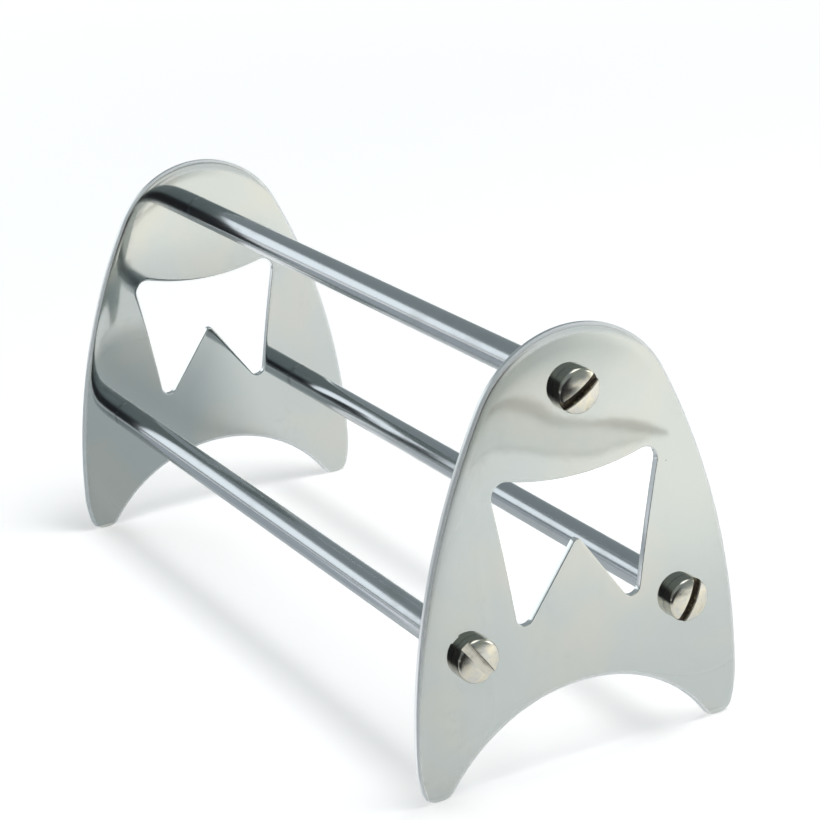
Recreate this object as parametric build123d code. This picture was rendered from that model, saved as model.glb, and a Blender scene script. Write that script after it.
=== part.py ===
from build123d import *
import math
import os

# Instrument stringer: two contoured end plates held apart by three round rods.
# X runs along the rods, +Z is up, and the origin is on the ground under the middle.
# All sizes are in millimetres.

# Overall
plate_gap = 184.0  # clear length between the two end plates
plate_thickness = 1.6  # polished stainless sheet
rim_radius = 0.45  # buffed round on the outer edges of the sheet
window_rim_radius = 0.15  # the edges of the window were hardly buffed
rim_share = 0.45  # a rim takes no more of the thickness than this, whatever its radius

# End plate outline
plate_half_width = 40.35  # middle to the side of an ankle
plate_height = 97.6  # ground to the crown
crown_radius = 25.2  # round top above the top rod
ankle_height = 10.0  # where the plate is widest
ankle_radius = 27.0  # outer side of a foot below that
foot_width = 5.45  # sole of a foot before its corners are rounded
toe_radius = 3.5  # outer corner of a foot
heel_radius = 3.5  # inner corner of a foot, where the arch begins
arch_height = 18.0  # ground to the top of the arch between the feet

# Tooth-shaped window, given by its sharp corners before they are rounded
shoulder_half_width = 21.3  # middle to an upper corner
shoulder_drop = 28.8  # crown of the plate down to the upper corners
bite_dip = 3.8  # how far the biting edge dips between the upper corners
fork_drop = 17.2  # upper corners down to the tip of the metal tongue
root_half_spread = 14.65  # middle to the tip of a root
root_rise = 13.05  # top of the arch up to the tips of the roots
side_waist = 0.3  # how far each side of the tooth bows in
shoulder_radius = 3.1
root_radius = 2.15
fork_radius = 1.15

# Rods
rod_diameter = 7.0
rod_chamfer = 0.15
top_rod_drop = 13.6  # crown of the plate down to the top rod's axis
low_rod_height = 30.9
low_rod_inset = 14.1  # widest line of the plate in to a low rod's axis

# Screws and the holes they need
thread_diameter = 4.0
thread_length = 12.0  # under the head
thread_chamfer = 0.5  # at the screw's tip
thread_fit = 0.05  # gap all round the thread in its tapped hole
plate_hole_fit = 0.2  # gap all round the thread in the plate
tap_margin = 2.5  # tapped hole left beyond the screw's tip
tap_mouth = 0.4  # countersink at the rod's end
drill_point_angle = 118.0
head_diameter = 9.9
head_rim_height = 2.7  # straight side of the head
head_height = 3.7  # seat of the head to the top of its dome
head_edge_radius = 1.0
slot_width = 2.1
slot_depth = 1.9

# Rod axes as Y and Z
rod_places = {
    "top": (0, plate_height - top_rod_drop),
    "front": (low_rod_inset - plate_half_width, low_rod_height),
    "rear": (plate_half_width - low_rod_inset, low_rod_height),
}

# Slot directions in degrees from level, as each screw stopped when it was tightened
slot_angles = {
    "right_top": 32.0,
    "right_front": 126.0,
    "right_rear": 63.0,
    "left_top": 15.0,
    "left_front": 80.0,
    "left_rear": 150.0,
}


# Rounds the corners of a flat shape that lie at the given points
def round_corners(shape, points, radius):
    corners = [shape.vertices().sort_by_distance(point)[0] for point in points]
    return fillet(corners, radius)


# Outline of an end plate: a crown, two long flanks, two feet and the arch between them
def plate_outline():
    crown_center = plate_height - crown_radius
    rise = crown_center - ankle_height
    # A flank is the one arc that leaves its ankle upright and runs smoothly into the crown
    flank_radius = plate_half_width**2 + rise**2 - crown_radius**2
    flank_radius = flank_radius / (2 * (plate_half_width - crown_radius))
    flank_center = flank_radius - plate_half_width
    turn = math.degrees(math.atan2(rise, flank_center))
    ankle_center = plate_half_width - ankle_radius
    ankle_turn = math.degrees(math.asin(ankle_height / ankle_radius))
    toe = ankle_center + math.sqrt(ankle_radius**2 - ankle_height**2)
    heel = toe - foot_width

    edges = [
        CenterArc((0, crown_center), crown_radius, turn, 180 - 2 * turn),
        CenterArc((-flank_center, ankle_height), flank_radius, 0, turn),
        CenterArc((flank_center, ankle_height), flank_radius, 180 - turn, turn),
        CenterArc((ankle_center, ankle_height), ankle_radius, -ankle_turn, ankle_turn),
        CenterArc((-ankle_center, ankle_height), ankle_radius, 180, ankle_turn),
        Line((toe, 0), (heel, 0)),
        Line((-toe, 0), (-heel, 0)),
        ThreePointArc((heel, 0), (0, arch_height), (-heel, 0)),
    ]
    outline = round_corners(make_face(edges), [(toe, 0), (-toe, 0)], toe_radius)
    return round_corners(outline, [(heel, 0), (-heel, 0)], heel_radius)


# Tooth-shaped window: a dipped biting edge, two waisted sides and two roots
def tooth_window():
    shoulder_height = plate_height - shoulder_drop
    root_height = arch_height + root_rise
    shoulders = [(side * shoulder_half_width, shoulder_height) for side in (1, -1)]
    roots = [(side * root_half_spread, root_height) for side in (1, -1)]
    fork = (0, shoulder_height - fork_drop)
    waist_half = (shoulder_half_width + root_half_spread) / 2 - side_waist
    waist_height = (shoulder_height + root_height) / 2
    bite = ThreePointArc(shoulders[0], (0, shoulder_height - bite_dip), shoulders[1])
    rear_side = ThreePointArc(shoulders[0], (waist_half, waist_height), roots[0])
    front_side = ThreePointArc(shoulders[1], (-waist_half, waist_height), roots[1])
    tongue = Polyline(roots[0], fork, roots[1])
    tooth = make_face([bite, rear_side, front_side, tongue])
    tooth = round_corners(tooth, shoulders, shoulder_radius)
    tooth = round_corners(tooth, roots, root_radius)
    return round_corners(tooth, [fork], fork_radius)


# Edges round both faces of a sheet, without those that run through its thickness
def rim_edges(sheet):
    return sheet.edges().filter_by(Axis.X, reverse=True)


# End plate with its inner face at X = 0, thickness towards +X
def end_plate():
    most = rim_share * plate_thickness
    plate = extrude(Plane.YZ * plate_outline(), plate_thickness)
    plate = fillet(rim_edges(plate), min(rim_radius, most))
    plate -= extrude(Plane.YZ * tooth_window(), plate_thickness)
    # The window's edges are the ones near the middle, above the arch and below the crown
    beside = (plate_half_width + shoulder_half_width) / 2
    below = arch_height + root_rise / 2
    above = plate_height - shoulder_drop / 2
    window_edges = rim_edges(plate).filter_by_position(Axis.Y, -beside, beside)
    window_edges = window_edges.filter_by_position(Axis.Z, below, above)
    plate = fillet(window_edges, min(window_rim_radius, most))
    hole = Plane.YZ * Cylinder(thread_diameter / 2 + plate_hole_fit, 4 * plate_thickness)
    for y, z in rod_places.values():
        plate -= Pos(0, y, z) * hole
    return plate


# Solid turned about +Z from a flat profile whose X is the radius and Y the height
def turned(profile):
    return revolve(Plane.XZ * profile, Axis.Z)


# Shape of a tapped blind hole that opens at Z = 0 and runs down
def tapped_hole():
    radius = thread_diameter / 2 + thread_fit
    depth = thread_length - plate_thickness + tap_margin
    point = depth + radius / math.tan(math.radians(drill_point_angle / 2))
    mouth = radius + tap_mouth
    wall = Polyline((0, 0), (mouth, 0), (radius, -tap_mouth), (radius, -depth), (0, -point), (0, 0))
    return turned(make_face(wall))


# Places something made about +Z at one end of the rods, facing out (side is 1 right, -1 left)
def at_end(side, distance, y, z):
    return Plane(origin=(side * distance, y, z), x_dir=(0, side, 0), z_dir=(side, 0, 0))


# Rod along X, tapped at both ends
def rod(y, z):
    bar = Plane.YZ * Cylinder(rod_diameter / 2, plate_gap)
    bar = Pos(0, y, z) * chamfer(bar.edges().filter_by(GeomType.CIRCLE), rod_chamfer)
    for side in (1, -1):
        bar -= at_end(side, plate_gap / 2, y, z) * tapped_hole()
    return bar


# Slotted screw standing on Z = 0 with its head up
def screw(slot_angle):
    head_radius = head_diameter / 2
    crown = head_height - head_rim_height
    dome_radius = (head_radius**2 + crown**2) / (2 * crown)
    dome_angle = math.degrees(math.asin(head_radius / dome_radius))
    dome = CenterArc((0, head_height - dome_radius), dome_radius, 90 - dome_angle, dome_angle)
    side = Polyline((0, head_height), (0, 0), (head_radius, 0), (head_radius, head_rim_height))
    half = round_corners(make_face([dome, side]), [(head_radius, head_rim_height)], head_edge_radius)
    head = turned(half)
    slot = Pos(0, 0, head_height) * Box(2 * head_diameter, slot_width, 2 * slot_depth)
    head -= Rot(0, 0, slot_angle) * slot
    radius = thread_diameter / 2
    tip = radius - thread_chamfer
    bevel = thread_chamfer - thread_length
    shank = Polyline((0, 0), (radius, 0), (radius, bevel), (tip, -thread_length), (0, -thread_length), (0, 0))
    return head + turned(make_face(shank))


os.makedirs("parts", exist_ok=True)
plate = end_plate()
export_step(Pos(plate_gap / 2, 0, 0) * plate, "parts/right_end_plate.step")
export_step(Pos(-plate_gap / 2 - plate_thickness, 0, 0) * plate, "parts/left_end_plate.step")
for name, (y, z) in rod_places.items():
    export_step(rod(y, z), f"parts/{name}_rod.step")
    for end, side in (("right", 1), ("left", -1)):
        seat = at_end(side, plate_gap / 2 + plate_thickness, y, z)
        export_step(seat * screw(slot_angles[f"{end}_{name}"]), f"parts/{end}_{name}_screw.step")
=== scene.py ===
import math

import bmesh
import bpy
from mathutils import Matrix, Vector


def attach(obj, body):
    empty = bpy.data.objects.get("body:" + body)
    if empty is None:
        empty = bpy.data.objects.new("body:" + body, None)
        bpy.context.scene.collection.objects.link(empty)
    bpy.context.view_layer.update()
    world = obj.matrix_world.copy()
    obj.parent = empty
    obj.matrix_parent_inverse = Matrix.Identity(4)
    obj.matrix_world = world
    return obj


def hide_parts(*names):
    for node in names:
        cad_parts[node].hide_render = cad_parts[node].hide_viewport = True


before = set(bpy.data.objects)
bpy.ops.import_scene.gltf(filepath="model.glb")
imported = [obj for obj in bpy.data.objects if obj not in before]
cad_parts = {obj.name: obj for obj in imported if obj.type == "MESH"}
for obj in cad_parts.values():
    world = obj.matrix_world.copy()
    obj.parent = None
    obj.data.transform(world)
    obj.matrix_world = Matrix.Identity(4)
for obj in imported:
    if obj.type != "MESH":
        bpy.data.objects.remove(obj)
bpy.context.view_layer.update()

# Instrument stringer: two polished end plates, three rods and six slotted screws.
# Sizes in the dictionaries are in millimetres. Pieces are made in millimetres and shrunk at the end.
mm = 0.001
weld = 1e-4  # corners closer than this are one
fineWeld = 1e-5
crispAngle = math.radians(35)  # steeper edges stay crisp
scene = bpy.context.scene
scene.view_settings.view_transform = "Standard"
print("frame loaded,", len(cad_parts), "nodes")


cameraSet = {
    "place": (470.98, -238.15, 237.55),
    "azimuth": 62.03,  # round from the -Y side towards +X
    "elevation": 19.36,
    "roll": -3.15,
    "lens": 101.66,
    "sensor": 36.0,
    "clip": (0.01, 20.0),  # metres
}


def makeCamera():
    data = bpy.data.cameras.new("photoCamera")
    data.lens = cameraSet["lens"]
    data.sensor_width = cameraSet["sensor"]
    data.clip_start, data.clip_end = cameraSet["clip"]
    turned = Matrix.Rotation(math.radians(cameraSet["azimuth"]), 4, "Z")
    turned @= Matrix.Rotation(math.radians(90 - cameraSet["elevation"]), 4, "X")
    turned @= Matrix.Rotation(math.radians(cameraSet["roll"]), 4, "Z")
    camera = bpy.data.objects.new("photoCamera", data)
    camera.matrix_world = Matrix.Translation(Vector(cameraSet["place"]) * mm) @ turned
    scene.collection.objects.link(camera)
    scene.camera = camera


makeCamera()
print("camera set")


# One value in a shader. Sums written with it add their Math nodes.
class Wire:
    def __init__(self, finish, socket):
        self.finish = finish
        self.socket = socket

    def maths(self, operation, *others):
        sockets = dict(enumerate((self, *others)))
        return self.finish.add("ShaderNodeMath", {"operation": operation}, sockets)

    def __add__(self, other):
        return self.maths("ADD", other)

    def __sub__(self, other):
        return self.maths("SUBTRACT", other)

    def __rsub__(self, other):
        return self.finish.add("ShaderNodeMath", {"operation": "SUBTRACT"}, {0: other, 1: self})

    def __mul__(self, other):
        return self.maths("MULTIPLY", other)

    def __truediv__(self, other):
        return self.maths("DIVIDE", other)

    def __abs__(self):
        return self.maths("ABSOLUTE")

    __radd__ = __add__
    __rmul__ = __mul__

    def root(self):
        return self.maths("SQRT")

    def least(self, other):
        return self.maths("MINIMUM", other)

    def most(self, other):
        return self.maths("MAXIMUM", other)

    # 0 below low, 1 above high, eased between them; high may be the smaller one
    def ease(self, low, high):
        setting = {"interpolation_type": "SMOOTHSTEP"}
        return self.finish.add("ShaderNodeMapRange", setting, {0: self, 1: low, 2: high, 3: 0.0, 4: 1.0})


# A material: its Principled shader and the one method that adds any other node
class Finish:
    def __init__(self, name, tree=None):
        if tree is None:
            self.material = bpy.data.materials.new(name)
            self.material.use_nodes = True
            tree = self.material.node_tree
        self.nodes = tree.nodes
        self.links = tree.links

    def add(self, kind, settings, sockets, output=0):
        node = self.nodes.new(kind)
        for key, value in settings.items():
            if key == "stops":
                ramp = node.color_ramp
                while len(ramp.elements) < len(value):
                    ramp.elements.new(0.5)
                for stop, (position, color) in zip(ramp.elements, value):
                    stop.position = position
                    stop.color = color
            else:
                setattr(node, key, value)
        self.feed(node, sockets)
        return Wire(self, node.outputs[output])

    def feed(self, node, sockets):
        for key, value in sockets.items():
            if isinstance(value, Wire):
                self.links.new(value.socket, node.inputs[key])
            else:
                node.inputs[key].default_value = value

    # Object coordinates in millimetres, as one vector and as x, y, z
    def place(self):
        metres = self.add("ShaderNodeTexCoord", {}, {}, "Object")
        vector = self.add("ShaderNodeVectorMath", {"operation": "SCALE"}, {0: metres, "Scale": 1 / mm})
        axes = [self.add("ShaderNodeSeparateXYZ", {}, {0: vector}, axis) for axis in range(3)]
        return vector, axes

    def noise(self, vector, scale, detail=2.0, rough=0.5, warp=0.0,
              stretch=(1, 1, 1), turn=(0, 0, 0), shift=(0, 0, 0)):
        spread = {"Vector": vector, "Scale": stretch, "Rotation": turn, "Location": shift}
        mapped = self.add("ShaderNodeMapping", {}, spread)
        sockets = {"Vector": mapped, "Scale": scale, "Detail": detail}
        sockets.update({"Roughness": rough, "Distortion": warp})
        return self.add("ShaderNodeTexNoise", {"noise_dimensions": "3D"}, sockets)

    def blend(self, factor, colorA, colorB):
        settings = {"data_type": "RGBA", "blend_type": "MIX", "clamp_factor": True}
        return self.add("ShaderNodeMix", settings, {0: factor, 6: colorA, 7: colorB}, 2)

    # Height in millimetres
    def bump(self, height):
        return self.add("ShaderNodeBump", {}, {"Height": height, "Distance": mm, "Strength": 1.0})

    def shade(self, sockets):
        self.feed(self.nodes["Principled BSDF"], sockets)
        return self.material


# Every corner, edge and face, as the operators want them
def allOf(bm):
    return bm.verts[:] + bm.edges[:] + bm.faces[:]


# Each item once, in the order it first comes
def once(items):
    return list(dict.fromkeys(items))


# Welds doubles, then turns all faces outwards
def closeUp(bm, reach=weld):
    bmesh.ops.remove_doubles(bm, verts=bm.verts, dist=reach)
    bmesh.ops.recalc_face_normals(bm, faces=bm.faces)


def keepCrisp(bm):
    for edge in bm.edges:
        if len(edge.link_faces) == 2:
            edge.smooth = edge.calc_face_angle() < crispAngle


# Turns a finished mesh in millimetres into a piece at the origin, riding on the rack
def finishPiece(bm, name, node, finishes):
    bmesh.ops.scale(bm, vec=(mm, mm, mm), verts=bm.verts)
    mesh = bpy.data.meshes.new(name)
    for face in bm.faces:
        face.smooth = True
    bm.to_mesh(mesh)
    bm.free()
    for finish in finishes:
        mesh.materials.append(finish)
    piece = bpy.data.objects.new(name, mesh)
    scene.collection.objects.link(piece)
    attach(piece, "root")
    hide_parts(node)
    print(name, len(mesh.polygons), "faces")


plateSet = {
    "gap": 184.0,
    "thickness": 1.6,
    "halfWidth": 40.35,
    "height": 97.6,
    "crownRadius": 25.2,
    "ankleHeight": 10.0,
    "ankleRadius": 27.0,
    "footWidth": 5.45,
    "toeRadius": 3.5,
    "heelRadius": 3.5,
    "archHeight": 18.0,
    "shoulderHalf": 21.3,
    "shoulderHeight": 68.8,
    "biteDip": 3.8,
    "forkHeight": 51.6,
    "rootHalf": 14.65,
    "rootHeight": 31.05,
    "sideWaist": 0.3,
    "shoulderRadius": 3.1,
    "rootRadius": 2.15,
    "forkRadius": 1.15,
    "rimRadius": 0.45,  # buffed round on the outer edges
    "rimSteps": 9,
    "windowRimRadius": 0.15,
    "windowRimSteps": 5,
    "rimTurn": 86.0,  # degrees of round before the buffed dip begins
    "buffWidth": 0.6,  # the buffing wheel dips the face a little, this far in from the rim
    "buffDrop": 0.02,
    "buffShares": (0.5, 0.3, 0.15, 0.05),  # how the dip runs out
    "guardWidth": 0.25,  # a last ring that keeps the face's shading flat
    "holeRadius": 2.2,
    "holeSegments": 48,
    "chord": 1.1,  # longest piece of an arc
    "arcTurn": 3.0,  # and the most degrees it turns
}
rodPlaces = {"top": (0.0, 84.0), "front": (-26.25, 30.9), "rear": (26.25, 30.9)}


def inPlate(y, z):
    return Vector((0.0, y, z))


def heading(vector):
    return math.atan2(vector.z, vector.y)


# Radii and centres that the outline and its polish share
def outlineMarks():
    s = plateSet
    crownHeight = s["height"] - s["crownRadius"]
    rise = crownHeight - s["ankleHeight"]
    flankRadius = s["halfWidth"] ** 2 + rise**2 - s["crownRadius"] ** 2
    flankRadius /= 2 * (s["halfWidth"] - s["crownRadius"])
    soleEnd = s["halfWidth"] - s["ankleRadius"] + math.sqrt(s["ankleRadius"] ** 2 - s["ankleHeight"] ** 2)
    heelEnd = soleEnd - s["footWidth"]
    archRadius = (heelEnd**2 + s["archHeight"] ** 2) / (2 * s["archHeight"])
    return crownHeight, rise, flankRadius, archRadius


# Centre of a circle that touches two others, given how far it lies from each centre
def touching(centreA, reachA, centreB, reachB, near):
    line = centreB - centreA
    gap = line.length
    line.normalize()
    along = (reachA**2 - reachB**2 + gap**2) / (2 * gap)
    aside = math.sqrt(reachA**2 - along**2)
    spots = [centreA + line * along + Vector((0, -line.z, line.y)) * aside * side for side in (1, -1)]
    return min(spots, key=lambda spot: (spot - near).length)


# Carries a corner round a centre until it faces the goal; way is 1 for anticlockwise
def carryRound(bm, corner, centre, goal, way):
    angle = (heading(goal - centre) - heading(corner.co - centre)) * way % (2 * math.pi)
    length = angle * (corner.co - centre).length
    turns = math.ceil(angle / math.radians(plateSet["arcTurn"]))
    steps = max(turns, math.ceil(length / plateSet["chord"]), 3)
    swept = bmesh.ops.spin(bm, geom=[corner], cent=centre, axis=(1, 0, 0), angle=way * angle, steps=steps)
    return swept["geom_last"][0]


def carryStraight(bm, corner, goal):
    ahead = bmesh.ops.extrude_vert_indiv(bm, verts=[corner])["verts"][0]
    ahead.co = goal
    return ahead


# Half the outline, from the crown down the +Y flank, round a foot and up to the top of the arch
def drawOutline(bm):
    s = plateSet
    crownHeight, rise, flankRadius, archRadius = outlineMarks()
    crown = inPlate(0, crownHeight)
    flank = inPlate(s["halfWidth"] - flankRadius, s["ankleHeight"])
    ankle = inPlate(s["halfWidth"] - s["ankleRadius"], s["ankleHeight"])
    arch = inPlate(0, s["archHeight"] - archRadius)
    toeReach = s["ankleRadius"] - s["toeRadius"]
    toeAhead = math.sqrt(toeReach**2 - (ankle.z - s["toeRadius"]) ** 2)
    toe = inPlate(ankle.y + toeAhead, s["toeRadius"])
    heelReach = archRadius + s["heelRadius"]
    heel = inPlate(math.sqrt(heelReach**2 - (s["heelRadius"] - arch.z) ** 2), s["heelRadius"])

    corner = bm.verts.new((0, 0, s["height"]))
    corner = carryRound(bm, corner, crown, crown + (crown - flank), -1)
    corner = carryRound(bm, corner, flank, inPlate(s["halfWidth"], s["ankleHeight"]), -1)
    corner = carryRound(bm, corner, ankle, toe, -1)
    corner = carryRound(bm, corner, toe, inPlate(toe.y, 0), -1)
    corner = carryStraight(bm, corner, inPlate(heel.y, 0))
    corner = carryRound(bm, corner, heel, arch, -1)
    carryRound(bm, corner, arch, inPlate(0, s["archHeight"]), 1)


# Half the tooth-shaped window, from the middle of its biting edge round to the fork
def drawWindow(bm):
    s = plateSet
    shoulder = inPlate(s["shoulderHalf"], s["shoulderHeight"])
    rootTip = inPlate(s["rootHalf"], s["rootHeight"])
    biteRadius = (s["shoulderHalf"] ** 2 + s["biteDip"] ** 2) / (2 * s["biteDip"])
    bite = inPlate(0, s["shoulderHeight"] - s["biteDip"] + biteRadius)
    side = rootTip - shoulder
    waist = s["sideWaist"] * abs(side.z) / side.length
    sideRadius = (side.length**2 / 4 + waist**2) / (2 * waist)
    outward = Vector((0, -side.z, side.y)).normalized()
    sideCentre = (shoulder + rootTip) / 2 + outward * (sideRadius - waist)
    tongue = (inPlate(0, s["forkHeight"]) - rootTip).normalized()
    tongueOut = Vector((0, tongue.z, -tongue.y))
    shoulderRound = touching(bite, biteRadius + s["shoulderRadius"],
                             sideCentre, sideRadius + s["shoulderRadius"], shoulder)
    # the root's round lies against the tongue's straight edge and the bowed side
    fromSide = rootTip + tongueOut * s["rootRadius"] - sideCentre
    ahead = fromSide.dot(tongue)
    sweep = math.sqrt(ahead**2 - fromSide.length**2 + (sideRadius + s["rootRadius"]) ** 2)
    spots = [sideCentre + fromSide + tongue * (way * sweep - ahead) for way in (1, -1)]
    rootRound = min(spots, key=lambda spot: (spot - rootTip).length)
    forkRound = inPlate(0, s["forkHeight"] - s["forkRadius"] / tongueOut.z)

    corner = bm.verts.new((0, 0, s["shoulderHeight"] - s["biteDip"]))
    corner = carryRound(bm, corner, bite, shoulderRound, 1)
    corner = carryRound(bm, corner, shoulderRound, sideCentre, -1)
    corner = carryRound(bm, corner, sideCentre, rootRound, 1)
    corner = carryRound(bm, corner, rootRound, rootRound - tongueOut, -1)
    corner = carryStraight(bm, corner, forkRound + tongueOut * s["forkRadius"])
    carryRound(bm, corner, forkRound, inPlate(0, s["height"]), 1)


# Steps over the rim, each as inward and rise: the round, the shallow buffed dip and the guard ring
def rimSteps(radius, steps):
    s = plateSet
    rings = []
    for step in range(steps):
        before, after = [math.radians(s["rimTurn"]) * (step + end) / steps for end in (0, 1)]
        inward = radius * (math.cos(before) - math.cos(after))
        rings.append((inward, radius * (math.sin(after) - math.sin(before))))
    left = radius + s["buffDrop"] - sum(rise for inward, rise in rings)
    for share in s["buffShares"]:
        rings.append((s["buffWidth"] / len(s["buffShares"]), left * share))
    return rings + [(s["guardWidth"], 0.0)]


# A closed loop in the middle of the sheet, from a drawn half
def closedLoop(draw):
    bm = bmesh.new()
    draw(bm)
    bmesh.ops.mirror(bm, geom=allOf(bm), matrix=Matrix(), merge_dist=weld, axis="Y")
    bmesh.ops.remove_doubles(bm, verts=bm.verts, dist=weld)
    face = bmesh.ops.contextual_create(bm, geom=bm.edges[:])["faces"][0]
    if face.normal.x < 0:
        face.normal_flip()
    return bm, face


# Swaps a face for the wall and rim round it, on one half of the thickness; grow is -1 round a window
def raiseRim(bm, face, radius, steps, grow):
    s = plateSet
    wall = s["thickness"] / 2 - radius - s["buffDrop"]
    inward = {}
    for loop in face.loops:
        here = loop.vert.co
        tangents = [(loop.link_loop_next.vert.co - here).normalized(),
                    (here - loop.link_loop_prev.vert.co).normalized()]
        middle = face.normal.cross(tangents[0] + tangents[1]).normalized()
        inward[loop.vert] = middle * grow / middle.dot(face.normal.cross(tangents[0]))
    rim = list(face.edges)
    bmesh.ops.delete(bm, geom=[face], context="FACES_ONLY")
    for step, rise in [(0.0, wall)] + rimSteps(radius, steps):
        made = bmesh.ops.extrude_edge_only(bm, edges=rim)["geom"]
        rim = [item for item in made if isinstance(item, bmesh.types.BMEdge)]
        ahead = {}
        for v in once(v for edge in rim for v in edge.verts):
            below = next(edge.other_vert(v) for edge in v.link_edges if edge.other_vert(v) in inward)
            ahead[v] = inward[below]
        for v, way in ahead.items():
            v.co += way * step + Vector((rise, 0, 0))
        inward = ahead


def join(bm, other):
    mesh = bpy.data.meshes.new("joined")
    other.to_mesh(mesh)
    bm.from_mesh(mesh)
    bpy.data.meshes.remove(mesh)
    other.free()


# Builds one half of the thickness, then mirrors it
def makePlate(side, finish):
    s = plateSet
    half = s["thickness"] / 2
    bm, face = closedLoop(drawOutline)
    raiseRim(bm, face, s["rimRadius"], s["rimSteps"], 1)
    window, face = closedLoop(drawWindow)
    raiseRim(window, face, s["windowRimRadius"], s["windowRimSteps"], -1)
    join(bm, window)

    # the face is filled round the window and the three screw holes
    flat = [edge for edge in bm.edges
            if edge.is_boundary and all(abs(v.co.x - half) < weld for v in edge.verts)]
    holes = []
    for y, z in rodPlaces.values():
        spot = Matrix.Translation((half, y, z)) @ Matrix.Rotation(math.pi / 2, 4, "Y")
        ring = bmesh.ops.create_circle(bm, radius=s["holeRadius"], segments=s["holeSegments"], matrix=spot)
        holes += once(edge for v in ring["verts"] for edge in v.link_edges)
    bmesh.ops.triangle_fill(bm, use_beauty=True, edges=flat + holes, normal=(1, 0, 0))
    sunk = bmesh.ops.extrude_edge_only(bm, edges=holes)["geom"]
    for v in [item for item in sunk if isinstance(item, bmesh.types.BMVert)]:
        v.co.x = 0
    bmesh.ops.mirror(bm, geom=allOf(bm), matrix=Matrix(), merge_dist=weld, axis="X")
    closeUp(bm, fineWeld)
    keepCrisp(bm)
    bmesh.ops.translate(bm, verts=bm.verts, vec=(side * (s["gap"] / 2 + half), 0, 0))
    name = "right" if side > 0 else "left"
    finishPiece(bm, name + "ContouredPlate", name + "_end_plate", [finish])


rodSet = {
    "radius": 3.5,
    "half": 92.0,
    "chamfer": 0.15,
    "endLength": 12.0,  # a ring this far in keeps the shading of the ends to themselves
    "tapRadius": 2.05,
    "tapMouth": 0.4,
    "tapDepth": 12.9,
    "tapPoint": 1.23,
    "segments": 128,
}


# Draws half a rod's section and turns it; the other half is its mirror image
def makeRod(name, finish):
    s = rodSet
    y, z = rodPlaces[name]
    half, radius, tap = s["half"], s["radius"], s["tapRadius"]
    bm = bmesh.new()
    corner = bm.verts.new((0, 0, radius))
    for x, reach in (
        (half - s["endLength"], radius),
        (half - s["chamfer"], radius),
        (half, radius - s["chamfer"]),
        (half, tap + s["tapMouth"]),
        (half - s["tapMouth"], tap),
        (half - s["tapDepth"], tap),
        (half - s["tapDepth"] - s["tapPoint"], 0),
    ):
        corner = carryStraight(bm, corner, Vector((x, 0, reach)))
    bmesh.ops.spin(bm, geom=bm.verts[:] + bm.edges[:], cent=(0, 0, 0), axis=(1, 0, 0),
                   angle=2 * math.pi, steps=s["segments"], use_merge=True)
    bmesh.ops.mirror(bm, geom=allOf(bm), matrix=Matrix(), merge_dist=weld, axis="X")
    closeUp(bm)
    keepCrisp(bm)
    bmesh.ops.translate(bm, verts=bm.verts, vec=(0, y, z))
    finishPiece(bm, name + "PolishedRod", name + "_rod", [finish])


screwSet = {
    "seat": 93.6,
    "headRadius": 4.95,
    "headRim": 2.7,
    "headHeight": 3.7,
    "headBevel": 0.05,  # broken edge where the head sits
    "edgeRadius": 1.0,
    "slotWidth": 2.1,
    "slotDepth": 1.9,
    "sawReach": 0.2,  # the saw's cuts stay this far above the seat
    "threadRadius": 2.0,
    "threadLength": 12.0,
    "threadChamfer": 0.5,
    "arcSteps": 9,
    "segments": 96,
    # slot directions, in degrees from level, as seen from outside that end
    "right": {"top": 32, "front": 126, "rear": 63},
    "left": {"top": 15, "front": 80, "rear": 150},
}


# Slotted screw about the Z axis, seat at Z = 0, slot along X
def drawScrew(bm):
    s = screwSet
    dome = s["headHeight"] - s["headRim"]
    domeRadius = (s["headRadius"] ** 2 + dome**2) / (2 * dome)
    domeCentre = Vector((0, 0, s["headHeight"] - domeRadius))
    roundX = s["headRadius"] - s["edgeRadius"]
    roundLift = math.sqrt((domeRadius - s["edgeRadius"]) ** 2 - roundX**2)
    roundAngle = math.atan2(roundX, roundLift)
    roundCentre = Vector((roundX, 0, domeCentre.z + roundLift))
    corner = bm.verts.new((0, 0, s["headHeight"]))
    for centre, angle in ((domeCentre, roundAngle), (roundCentre, math.pi / 2 - roundAngle)):
        swept = bmesh.ops.spin(bm, geom=[corner], cent=centre, axis=(0, 1, 0),
                               angle=angle, steps=s["arcSteps"])
        corner = swept["geom_last"][0]
    for x, z in (
        (s["headRadius"], s["headBevel"]),
        (s["headRadius"] - s["headBevel"], 0),
        (s["threadRadius"], 0),
        (s["threadRadius"], s["threadChamfer"] - s["threadLength"]),
        (s["threadRadius"] - s["threadChamfer"], -s["threadLength"]),
        (0, -s["threadLength"]),
    ):
        corner = carryStraight(bm, corner, Vector((x, 0, z)))
    bmesh.ops.spin(bm, geom=bm.verts[:] + bm.edges[:], cent=(0, 0, 0), axis=(0, 0, 1),
                   angle=2 * math.pi, steps=s["segments"], use_merge=True)
    closeUp(bm)


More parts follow.
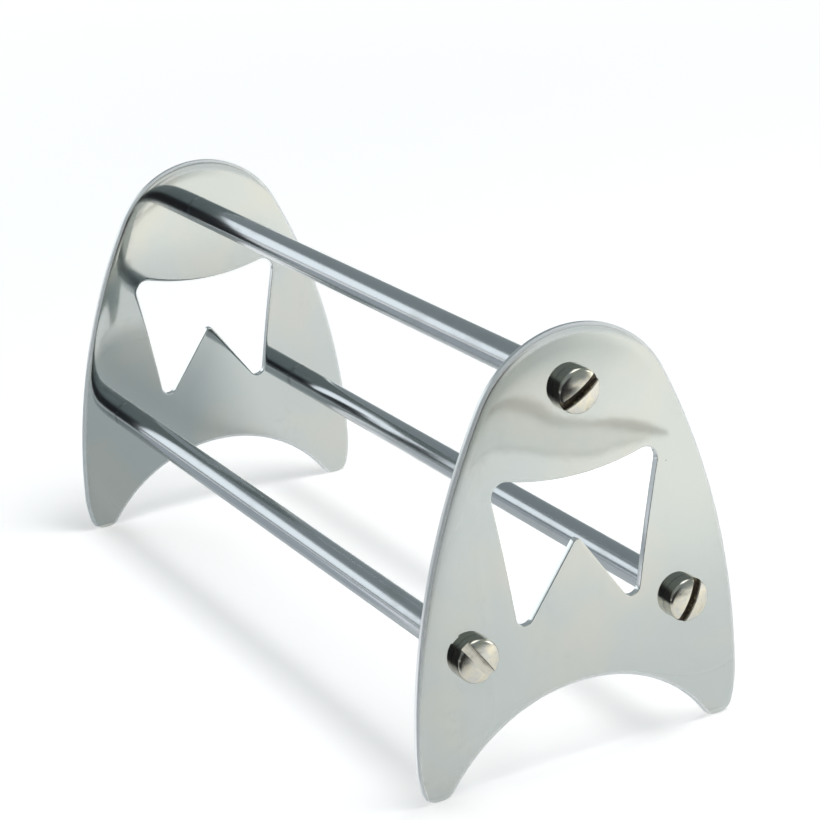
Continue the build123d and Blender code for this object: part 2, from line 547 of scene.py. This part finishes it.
# Saws the slot: three cuts, the strip between them out, two walls and a floor in
def sawSlot(bm):
    s = screwSet
    floor = s["headHeight"] - s["slotDepth"]
    half = s["slotWidth"] / 2

    def strip(height):
        middles = [(face, face.calc_center_median()) for face in bm.faces]
        return [face for face, middle in middles if abs(middle.y) < half and middle.z > height]

    for side in (1, -1):
        bmesh.ops.bisect_plane(bm, geom=allOf(bm), dist=fineWeld,
                               plane_co=(0, side * half, 0), plane_no=(0, 1, 0))
    near = once(item for face in strip(s["sawReach"]) for item in (face, *face.edges, *face.verts))
    bmesh.ops.bisect_plane(bm, geom=near, dist=fineWeld, plane_co=(0, 0, floor), plane_no=(0, 0, 1))
    bmesh.ops.delete(bm, geom=strip(floor), context="FACES")
    low = [v for v in bm.verts
           if v.is_boundary and abs(v.co.z - floor) < weld and abs(abs(v.co.y) - half) < weld]
    lines = [bm.edges.new([v for v in low if v.co.y * side > 0]) for side in (1, -1)]
    rims = [edge for edge in bm.edges if edge.is_boundary]
    for side, line in zip((1, -1), lines):
        wall = [edge for edge in rims if all(abs(v.co.y - side * half) < weld for v in edge.verts)]
        bmesh.ops.contextual_create(bm, geom=wall + [line])
    arcs = [edge for edge in bm.edges if edge.is_boundary and edge not in lines]
    bmesh.ops.contextual_create(bm, geom=arcs + lines)
    # the sawn faces are the only ones at the head with many sides
    for face in bm.faces:
        if len(face.verts) > 8 and face.calc_center_median().z > floor - 10 * weld:
            face.material_index = 1
    bmesh.ops.recalc_face_normals(bm, faces=bm.faces)


def makeScrew(side, name, finish, sawnFinish):
    s = screwSet
    end = "right" if side > 0 else "left"
    y, z = rodPlaces[name]
    bm = bmesh.new()
    drawScrew(bm)
    sawSlot(bm)
    keepCrisp(bm)
    spot = Matrix(((0, 0, side, side * s["seat"]), (side, 0, 0, y), (0, 1, 0, z), (0, 0, 0, 1)))
    spot @= Matrix.Rotation(math.radians(s[end][name]), 4, "Z")
    bmesh.ops.transform(bm, matrix=spot, verts=bm.verts)
    finishPiece(bm, end + name.capitalize() + "SlottedScrew", f"{end}_{name}_screw",
                [finish, sawnFinish])


# In the finishes, pairs of numbers are where a pattern sets in and where it is full
plateFinish = {
    "color": (0.508, 0.542, 0.530, 1),
    "rough": 0.045,
    "cloud": {"scale": 0.045, "detail": 3.0, "shift": (3, 8, 1)},  # broad straw-tinted clouds
    "cloudEase": (0.42, 0.66),
    "cloudColor": (0.545, 0.554, 0.517, 1),
    "wiped": {"scale": 0.10, "detail": 5.0, "stretch": (1, 1, 0.45), "turn": (0.5, 0, 0), "rough": 0.62},
    "wipedEase": (0.54, 0.76),
    "haze": {"scale": 0.7, "detail": 4.0, "rough": 0.7},  # finger marks and dried rinse water
    "hazeEase": (0.35, 0.75),
    "hazeCover": 0.55,
    "hazeColor": (0.45, 0.47, 0.45, 1),
    "hazeRough": 0.05,
    "screwHaze": 0.35,  # wiping never reaches right up to a screw
    "speckScale": 0.085,
    "speckEase": (0.034, 0.022),
    "rare": {"scale": 0.06, "detail": 0.0, "shift": (40, 12, 7)},  # specks keep to a few places
    "rareEase": (0.56, 0.60),
    "speckCover": 0.8,
    "speckColor": (0.16, 0.13, 0.09, 1),
    "wave": {"scale": 0.032, "detail": 1.0, "stretch": (1, 1, 1.3), "warp": 0.4},  # of the rolled sheet
    "waveHeight": 0.05,
    "peel": {"scale": 0.22},
    "peelHeight": 0.0035,
    "grain": {"scale": 1.6, "detail": 3.0, "stretch": (1, 1, 0.06), "rough": 0.6},
    "grainHeight": 0.0002,
    "dishRadius": 7.0,  # pulled in round each screw
    "dishHeight": 0.012,
    "edgeWidth": 1.8,  # the faces fall away towards the buffed outer edges
    "edgeDrop": 0.36,
    "edgeRough": 0.07,
    "rimEase": (0.9, 0.35),  # hazy, less metallic and painted pale as a highlight on the rounded outer rims, this far in from the outline
    "rimDepth": (0.3, 0.5),  # and this far from the middle of the sheet
    "rimRough": 0.5,
    "rimMatt": 0.55,
    "wallEase": (0.77, 0.66),  # a little of the same haze and painted highlight through the thickness
    "wallRough": 0.16,
    "rimHighlightCover": 0.85,
    "rimHighlightColor": (0.89, 0.90, 0.905, 1),
}


def reachOf(across, up):
    return (across * across + up * up).root()


# How far a spot on an end plate lies from the outside and from the arch
def edgeDistances(y, z):
    s = plateSet
    crownHeight, rise, flankRadius, archRadius = outlineMarks()
    side = abs(y)
    lean = rise / (flankRadius - s["halfWidth"])
    crown = s["crownRadius"] - reachOf(y, z - crownHeight)
    flank = flankRadius - reachOf(side + (flankRadius - s["halfWidth"]), z - s["ankleHeight"])
    ankle = s["ankleRadius"] - reachOf(side - (s["halfWidth"] - s["ankleRadius"]), z - s["ankleHeight"])
    aboveFlank = (z - crownHeight - side * lean).maths("GREATER_THAN", 0.0)
    belowAnkle = z.maths("LESS_THAN", s["ankleHeight"])
    outer = flank + (crown - flank) * aboveFlank + (ankle - flank) * belowAnkle
    arch = reachOf(y, z - (s["archHeight"] - archRadius)) - archRadius
    return outer.most(0.0), arch.most(0.0)


def nearestRod(y, z):
    reaches = [reachOf(y - rodY, z - rodZ) for rodY, rodZ in rodPlaces.values()]
    return reaches[0].least(reaches[1]).least(reaches[2])


def makePlateSteel():
    s = plateFinish
    finish = Finish("plateSteel")
    vector, (x, y, z) = finish.place()
    patterns = ("wave", "peel", "grain", "cloud", "wiped", "haze", "rare")
    wave, peel, grain, cloud, wiped, haze, rare = [finish.noise(vector, **s[key]) for key in patterns]
    outer, arch = edgeDistances(y, z)
    fromScrew = nearestRod(y, z)
    buffed = (outer / -s["edgeWidth"]).maths("EXPONENT") + (arch / -s["edgeWidth"]).maths("EXPONENT")
    offMiddle = abs(abs(x) - (plateSet["gap"] + plateSet["thickness"]) / 2)
    rim = outer.least(arch).ease(*s["rimEase"]) * offMiddle.ease(*s["rimDepth"])
    wall = offMiddle.ease(*s["wallEase"])
    dish = (fromScrew * fromScrew / (-2 * s["dishRadius"] ** 2)).maths("EXPONENT")
    haze = haze.ease(*s["hazeEase"]) * wiped.ease(*s["wipedEase"])
    haze = haze.most(dish * s["screwHaze"])
    cells = {"Vector": vector, "Scale": s["speckScale"]}
    specks = finish.add("ShaderNodeTexVoronoi", {"feature": "F1"}, cells)
    specks = specks.ease(*s["speckEase"]) * rare.ease(*s["rareEase"])
    color = finish.blend(cloud.ease(*s["cloudEase"]), s["color"], s["cloudColor"])
    color = finish.blend(haze * s["hazeCover"], color, s["hazeColor"])
    color = finish.blend(specks * s["speckCover"], color, s["speckColor"])
    # painted highlight: the rounded rims and the walls are painted pale
    color = finish.blend(rim.most(wall) * s["rimHighlightCover"], color, s["rimHighlightColor"])
    rough = s["rough"] + haze * s["hazeRough"] + buffed * s["edgeRough"]
    rough = rough + rim * s["rimRough"] + wall * s["wallRough"]
    height = wave * s["waveHeight"] + peel * s["peelHeight"] + grain * s["grainHeight"]
    normal = finish.bump(height - buffed * s["edgeDrop"] - dish * s["dishHeight"])
    metal = 1 - rim * s["rimMatt"]
    return finish.shade({"Metallic": metal, "Base Color": color, "Roughness": rough, "Normal": normal})


rodFinish = {
    "color": (0.58, 0.605, 0.625, 1),
    "dullColor": (0.45, 0.46, 0.46, 1),
    "rough": 0.16,
    # left by the grinding wheel
    "rings": {"scale": 2.4, "detail": 3.0, "stretch": (1, 0.03, 0.03), "rough": 0.7},
    "ringHeight": 0.0006,
    "ringRough": 0.03,
    "flats": {"scale": 0.45, "detail": 2.0, "stretch": (0.012, 1, 1)},  # long and faint, along the bar
    "flatHeight": 0.002,
    "wiped": {"scale": 0.12, "detail": 4.0, "stretch": (0.4, 1, 1), "rough": 0.6},
    "wipedEase": (0.5, 0.74),
    "wipedCover": 0.5,
    "wipedRough": 0.06,
    "endEase": (2.2, 0.1),  # duller right beside an end plate
    "endCover": 0.7,
    "endRough": 0.05,
}


def makeRodSteel():
    s = rodFinish
    finish = Finish("rodSteel")
    vector, (x, y, z) = finish.place()
    rings, flats, wiped = [finish.noise(vector, **s[key]) for key in ("rings", "flats", "wiped")]
    wiped = wiped.ease(*s["wipedEase"])
    nearPlate = (plateSet["gap"] / 2 - abs(x)).ease(*s["endEase"])
    dull = (wiped * s["wipedCover"]).most(nearPlate * s["endCover"])
    color = finish.blend(dull, s["color"], s["dullColor"])
    rough = s["rough"] + wiped * s["wipedRough"] + rings * s["ringRough"] + nearPlate * s["endRough"]
    normal = finish.bump(rings * s["ringHeight"] + flats * s["flatHeight"])
    return finish.shade({"Metallic": 1.0, "Base Color": color, "Roughness": rough, "Normal": normal})


screwFinish = {
    "color": (0.585, 0.575, 0.53, 1),
    "creamColor": (0.68, 0.645, 0.53, 1),
    "creamEase": (0.38, 0.62),
    "rough": 0.16,
    "worn": {"scale": 0.5, "detail": 4.0, "rough": 0.6},
    "wornHeight": 0.012,
    "fine": {"scale": 3.2, "detail": 3.0, "rough": 0.65},
    "fineHeight": 0.001,
    "fineRough": 0.05,
    "ringGap": 0.42,  # lathe rings on the dome
    "ringHeight": 0.0006,
    "grimeEase": (0.52, 0.74),  # old dirt, more of it towards the head's edge
    "grimeReach": (2.0, 4.8),
    "grimeCover": 0.45,
    "grimeRough": 0.22,
    "seamEase": (0.30, 0.02),  # and along the seat
    "seamCover": 0.4,
    "grimeColor": (0.20, 0.185, 0.12, 1),
}


def makeScrewSteel():
    s = screwFinish
    finish = Finish("screwSteel")
    vector, (x, y, z) = finish.place()
    worn, fine = [finish.noise(vector, **s[key]) for key in ("worn", "fine")]
    reach = nearestRod(y, z)
    rings = (reach * (2 * math.pi / s["ringGap"])).maths("SINE")
    seam = (abs(x) - screwSet["seat"]).ease(*s["seamEase"])
    grime = worn.ease(*s["grimeEase"]) * reach.ease(*s["grimeReach"]) * s["grimeCover"]
    grime = grime.most(seam * s["seamCover"])
    color = finish.blend(worn.ease(*s["creamEase"]), s["color"], s["creamColor"])
    color = finish.blend(grime, color, s["grimeColor"])
    rough = s["rough"] + grime * s["grimeRough"] + fine * s["fineRough"]
    normal = finish.bump(rings * s["ringHeight"] + worn * s["wornHeight"] + fine * s["fineHeight"])
    return finish.shade({"Metallic": 1.0, "Base Color": color, "Roughness": rough, "Normal": normal})


slotFinish = {
    "color": (0.085, 0.062, 0.045, 1),
    "metal": 0.35,
    "rough": 0.5,
    "packed": {"scale": 0.8, "detail": 4.0, "rough": 0.65},  # old polish in the slot
    "packedHeight": 0.06,
    "packedRough": 0.15,
    "sawn": {"scale": 6.0, "detail": 2.0, "stretch": (0.15, 1, 1)},
    "sawnHeight": 0.004,
    "fleck": {"scale": 1.7, "detail": 3.0, "shift": (5, 2, 9), "rough": 0.6},
    "fleckEase": (0.50, 0.66),
    "fleckShadeLift": (0.1, 0.9),  # olive flecks of residue, painted thicker up the walls as part of the slot's painted shade
    "fleckLeast": 0.2,
    "fleckCover": 0.8,
    "fleckColor": (0.74, 0.66, 0.34, 1),
    "domeDrop": 0.039,  # how the domed top falls away, per millimetre squared
    "paintedLightDepth": (0.75, 0.15),  # painted shade in the slot: the walls are pale just below the top and darker deeper down
    "paintedLightEase": (0.30, 0.52),
    "paintedLightLeast": 0.35,
    "frontEnd": (-18.0, -22.0),  # the front screws, in Y, have clean slots
    "cleanDepth": (0.5, 0.05),
    "cleanCover": 0.92,
    "cleanEase": (0.50, 0.70),
    "cleanLoss": 0.25,
    "cleanMetal": 0.6,
    "cleanRough": -0.22,
    "cleanSmooth": 0.8,
    "cleanAndLitColor": (0.72, 0.69, 0.60, 1),
}


# Sawn faces of the slots, with old polish left in all but the front ones
def makeSlotSteel():
    s = slotFinish
    finish = Finish("slotSteel")
    vector, (x, y, z) = finish.place()
    packed, fleck, sawn = [finish.noise(vector, **s[key]) for key in ("packed", "fleck", "sawn")]
    frontEnd = y.ease(*s["frontEnd"])
    overFloor = abs(x) - (screwSet["seat"] + screwSet["headHeight"] - screwSet["slotDepth"])
    reach = nearestRod(y, z)
    below = screwSet["slotDepth"] - reach * reach * s["domeDrop"] - overFloor  # down from the domed top
    flecks = fleck.ease(*s["fleckEase"]) * overFloor.ease(*s["fleckShadeLift"]).most(s["fleckLeast"])
    color = finish.blend(flecks * s["fleckCover"], s["color"], s["fleckColor"])
    # painted shade: pale near the top of the slot walls, darker deeper down; the dark residue colour is
    # the slot's own
    paintedLightTop = s["paintedLightLeast"] + packed.ease(*s["paintedLightEase"]) * (1 - s["paintedLightLeast"])
    color = finish.blend(below.ease(*s["paintedLightDepth"]) * paintedLightTop, color, s["cleanAndLitColor"])
    clean = s["cleanCover"] - packed.ease(*s["cleanEase"]) * s["cleanLoss"]
    clean = clean * overFloor.ease(*s["cleanDepth"])
    color = finish.blend(frontEnd, color, s["color"])
    color = finish.blend(frontEnd * clean, color, s["cleanAndLitColor"])
    metal = s["metal"] + frontEnd * s["cleanMetal"]
    rough = s["rough"] + frontEnd * s["cleanRough"] + packed * s["packedRough"]
    lumps = packed * s["packedHeight"] * (1 - frontEnd * s["cleanSmooth"])
    normal = finish.bump(lumps + sawn * s["sawnHeight"])
    return finish.shade({"Metallic": metal, "Base Color": color, "Roughness": rough, "Normal": normal})


plateSteel = makePlateSteel()
rodSteel = makeRodSteel()
screwSteel = makeScrewSteel()
slotSteel = makeSlotSteel()
print("finishes made")

for side in (1, -1):
    makePlate(side, plateSteel)
    for name in rodPlaces:
        makeScrew(side, name, screwSteel, slotSteel)
for name in rodPlaces:
    makeRod(name, rodSteel)
print("pieces made")

studio = {
    "floorSize": 6000.0,
    "floorColor": (0.93, 0.93, 0.93, 1),
    "floorRough": 0.9,
    "floorShine": 0.1,
    "nearGlow": (0.395, 0.378, 0.372, 1),  # lifts the paper to white where it is seen
    "farGlow": (0.72, 0.70, 0.70, 1),
    "glowReach": (200.0, 1300.0),  # from the rack out to where the lamps fall off
    "roomStops": [
        (0.0, (1, 1, 1, 1)),
        (0.49, (1, 1, 1, 1)),
        (0.53, (0.28, 0.325, 0.335, 1)),
        (1.0, (0.26, 0.30, 0.315, 1)),
    ],
}


def makeFloor():
    bm = bmesh.new()
    bmesh.ops.create_grid(bm, x_segments=8, y_segments=8, size=studio["floorSize"] / 2 * mm)
    mesh = bpy.data.meshes.new("paperFloor")
    bm.to_mesh(mesh)
    bm.free()
    floor = bpy.data.objects.new("paperFloor", mesh)
    scene.collection.objects.link(floor)
    finish = Finish("whitePaper")
    rays = [finish.add("ShaderNodeLightPath", {}, {}, f"Is {kind} Ray")
            for kind in ("Camera", "Glossy", "Transmission")]
    seen = rays[0].most(rays[1]).most(rays[2])
    vector, (x, y, z) = finish.place()
    away = reachOf(x, y).ease(*studio["glowReach"])
    glow = finish.blend(away, studio["nearGlow"], studio["farGlow"])
    glow = finish.blend(seen, (0, 0, 0, 1), glow)
    mesh.materials.append(finish.shade({
        "Base Color": studio["floorColor"],
        "Roughness": studio["floorRough"],
        "Specular IOR Level": studio["floorShine"],
        "Emission Color": glow,
        "Emission Strength": 1.0,
    }))


def makeWorld():
    world = bpy.data.worlds.new("studioRoom")
    world.use_nodes = True
    scene.world = world
    room = Finish("studioRoom", world.node_tree)
    direction = room.add("ShaderNodeTexCoord", {}, {}, "Generated")
    height = room.add("ShaderNodeSeparateXYZ", {}, {0: direction}, 2)
    tone = room.add("ShaderNodeValToRGB", {"stops": studio["roomStops"]}, {0: height * 0.5 + 0.5})
    room.feed(room.nodes["Background"], {"Color": tone, "Strength": 1.0})


lamps = {
    "overheadBox": {
        "place": (150, 150, 800),
        "aim": (0, 0, 40),
        "size": (500, 400),
        "watts": 1.1,
    },
    # gives the floor its shadow and leaves the polish alone
    "shadowBox": {
        "place": (120, 240, 900),
        "aim": (0, 0, 0),
        "size": (300, 300),
        "watts": 2.5,
        "mirrored": False,
    },
    "keyBox": {
        "place": (310, 540, 200),
        "aim": (60, 0, 40),
        "size": (340, 260),
        "watts": 0.6,
        "color": (1.0, 0.98, 0.94),
    },
    "backBox": {
        "place": (-750, -372, 300),
        "aim": (0, 0, 40),
        "size": (520, 340),
        "watts": 0.58,
        "color": (0.93, 0.97, 1.0),
    },
}


def makeLamp(name, place, aim, size, watts, color=(1, 1, 1), mirrored=True):
    data = bpy.data.lights.new(name, "AREA")
    data.shape = "RECTANGLE"
    data.size, data.size_y = size[0] * mm, size[1] * mm
    data.energy = watts
    data.color = color
    lamp = bpy.data.objects.new(name, data)
    lamp.location = Vector(place) * mm
    lamp.rotation_euler = (Vector(aim) - Vector(place)).to_track_quat("-Z", "Y").to_euler()
    lamp.visible_camera = False
    lamp.visible_glossy = mirrored
    scene.collection.objects.link(lamp)


# Soft-edged boards that only the polished steel sees. Each has its corners row by row, its tone,
# how much of it fades at the start and end of a row and of a column, and how much it covers.
boards = {
    # painted shade on the floor on the -X, -Y side of the rack, seen only mirrored in the steel
    "lowShadeBoard": {
        "rows": [[(-620, -620, 1), (60, -620, 1)], [(-620, -28, 1), (60, -28, 1)]],
        "tone": (0.42, 0.47, 0.50),
        "soft": (0.1, 0.1, 0.1, 0.03),
    },
    # painted shade on the floor under the rack, seen only mirrored in the steel
    "underShadeBoard": {
        "rows": [[(-140, -60, 1.1), (88, -60, 1.1)], [(-140, 6, 1.1), (88, 88, 1.1)]],
        "tone": (0.44, 0.49, 0.51),
        "soft": (0.2, 0.12, 0.25, 0.45),
        "cover": 0.8,
    },
    "nearBoard": {
        "rows": [[(0, -640, 1), (900, -640, 1)], [(0, -70, 1), (900, 408, 1)]],
        "tone": (0.03, 0.03, 0.035),
        "soft": (0.12, 0.1, 0.1, 0.22),
    },
    "nookBoard": {
        "rows": [[(96, -190, 1.4), (235, -190, 1.4)], [(96, -52, 1.4), (235, 22, 1.4)]],
        "tone": (0.03, 0.03, 0.035),
        "soft": (0.15, 0.35, 0.1, 0.35),
    },
    "roomBoard": {
        "rows": [[(430, -760, -10), (800, 190, -10)], [(430, -760, 380), (800, 190, 380)]],
        "tone": (0.03, 0.03, 0.035),
        "soft": (0.1, 0.2, 0.02, 0.35),
    },
    "shadeBoard": {
        "rows": [[(280, 5, 1.3), (500, 122, 1.3)], [(280, 185, 1.3), (500, 302, 1.3)]],
        "tone": (0.42, 0.47, 0.44),
        "soft": (0.35, 0.3, 0.1, 0.5),
        "cover": 0.62,
    },
    # painted shade on the floor just outside the near plate's feet, seen only mirrored in the steel
    "footShadeBoard": {
        "rows": [[(60, -70, 1.35), (230, 20, 1.35)], [(60, 90, 1.35), (230, 180, 1.35)]],
        "tone": (0.6, 0.62, 0.62),
        "soft": (0.05, 0.9, 0.1, 0.1),
        "cover": 0.22,
    },
    "gapBoard": {
        "rows": [[(-170, -215, 1.5), (100, -75, 1.5)], [(-170, -135, 1.5), (100, -25, 1.5)]],
        "tone": (1.02, 1.04, 1.08),
        "soft": (0.25, 0.1, 0.2, 0.2),
    },
    "brightBoard": {
        "rows": [[(110, -21, 1.2), (520, 197, 1.2)], [(110, 310, 1.2), (520, 528, 1.2)]],
        "tone": (1.40, 1.38, 1.31),
        "soft": (0.25, 0.25, 0.25, 0.3),
    },
    "sideBoard": {
        "rows": [[(-340, -760, 10), (440, -760, 10)], [(-340, -760, 560), (440, -760, 560)]],
        "tone": (0.16, 0.17, 0.18),
        "soft": (0.2, 0.05, 0.1, 0.25),
    },
}

# Two soft darker lines on the floor, seen only mirrored in the near plate: x, y and half width along each
floorLines = {
    "seam": [
        (338, 86, 7), (325, 92, 7), (313, 98, 7), (301, 104, 7), (293, 106, 7), (284, 108, 7),
        (276, 107, 5), (270, 108, 4), (266, 112, 3.5), (264, 116, 4), (259, 119, 5.5), (254, 122, 6),
        (250, 125, 5), (246, 127, 4), (245, 131, 3), (247, 135, 3),
    ],
    "tape": [
        (276, 55, 3), (273, 61, 3), (270, 67, 3), (267, 73, 3), (264, 79, 3), (260, 83, 3), (256, 87, 3),
        (251, 90, 3), (248, 94, 3), (245, 99, 3), (243, 104, 3), (244, 109, 3), (244, 114, 3),
        (243, 119, 3), (243, 123, 3),
    ],
}
floorLineHeight = 2
betweenLinesHeight = 1.5


def beside(line, way):
    return [(x + way * width, y + way * width, floorLineHeight) for x, y, width in line]


boards["seamBoard"] = {
    "rows": [beside(floorLines["seam"], -1), beside(floorLines["seam"], 1)],
    "tone": (0.30, 0.29, 0.23),
    "soft": (0.08, 0.1, 0.5, 0.35),
    "cover": 0.5,
}
boards["tapeBoard"] = {
    "rows": [beside(floorLines["tape"], -1), beside(floorLines["tape"], 1)],
    "tone": (0.40, 0.40, 0.37),
    "soft": (0.1, 0.2, 0.4, 0.5),
    "cover": 0.25,
}
# the darker strip between the two
boards["glazeBoard"] = {
    "rows": [[(x, y, betweenLinesHeight) for x, y, width in line]
             for line in (floorLines["tape"], floorLines["seam"][:len(floorLines["tape"])])],
    "tone": (0.50, 0.53, 0.50),
    "soft": (0.05, 0.15, 0.05, 0.05),
    "cover": 0.26,
}


def makeBoard(name, rows, tone, soft, cover=1.0):
    bm = bmesh.new()
    bm.loops.layers.uv.new("UVMap")
    bmesh.ops.create_grid(bm, x_segments=len(rows[0]) - 1, y_segments=len(rows) - 1, size=1, calc_uvs=True)
    for v, spot in zip(bm.verts, [spot for row in rows for spot in row]):
        v.co = Vector(spot) * mm
    mesh = bpy.data.meshes.new(name)
    bm.to_mesh(mesh)
    bm.free()
    board = bpy.data.objects.new(name, mesh)
    scene.collection.objects.link(board)
    finish = Finish(name)
    uv = finish.add("ShaderNodeTexCoord", {}, {}, "UV")
    masks = []
    for axis in (0, 1):
        along = finish.add("ShaderNodeSeparateXYZ", {}, {0: uv}, axis)
        masks += [along.ease(0.0, soft[2 * axis]), along.ease(1.0, 1.0 - soft[2 * axis + 1])]
    mask = masks[0] * masks[1] * masks[2] * masks[3] * cover
    clear = finish.add("ShaderNodeBsdfTransparent", {}, {})
    grey = finish.add("ShaderNodeEmission", {}, {"Color": (*tone, 1), "Strength": 1.0})
    mixed = finish.add("ShaderNodeMixShader", {}, {0: mask, 1: clear, 2: grey})
    finish.feed(finish.nodes["Material Output"], {"Surface": mixed})
    mesh.materials.append(finish.material)
    board.visible_camera = False
    board.visible_diffuse = False
    board.visible_shadow = False


makeFloor()
makeWorld()
for name, settings in lamps.items():
    makeLamp(name, **settings)
for name, settings in boards.items():
    makeBoard(name, **settings)
print("studio set")
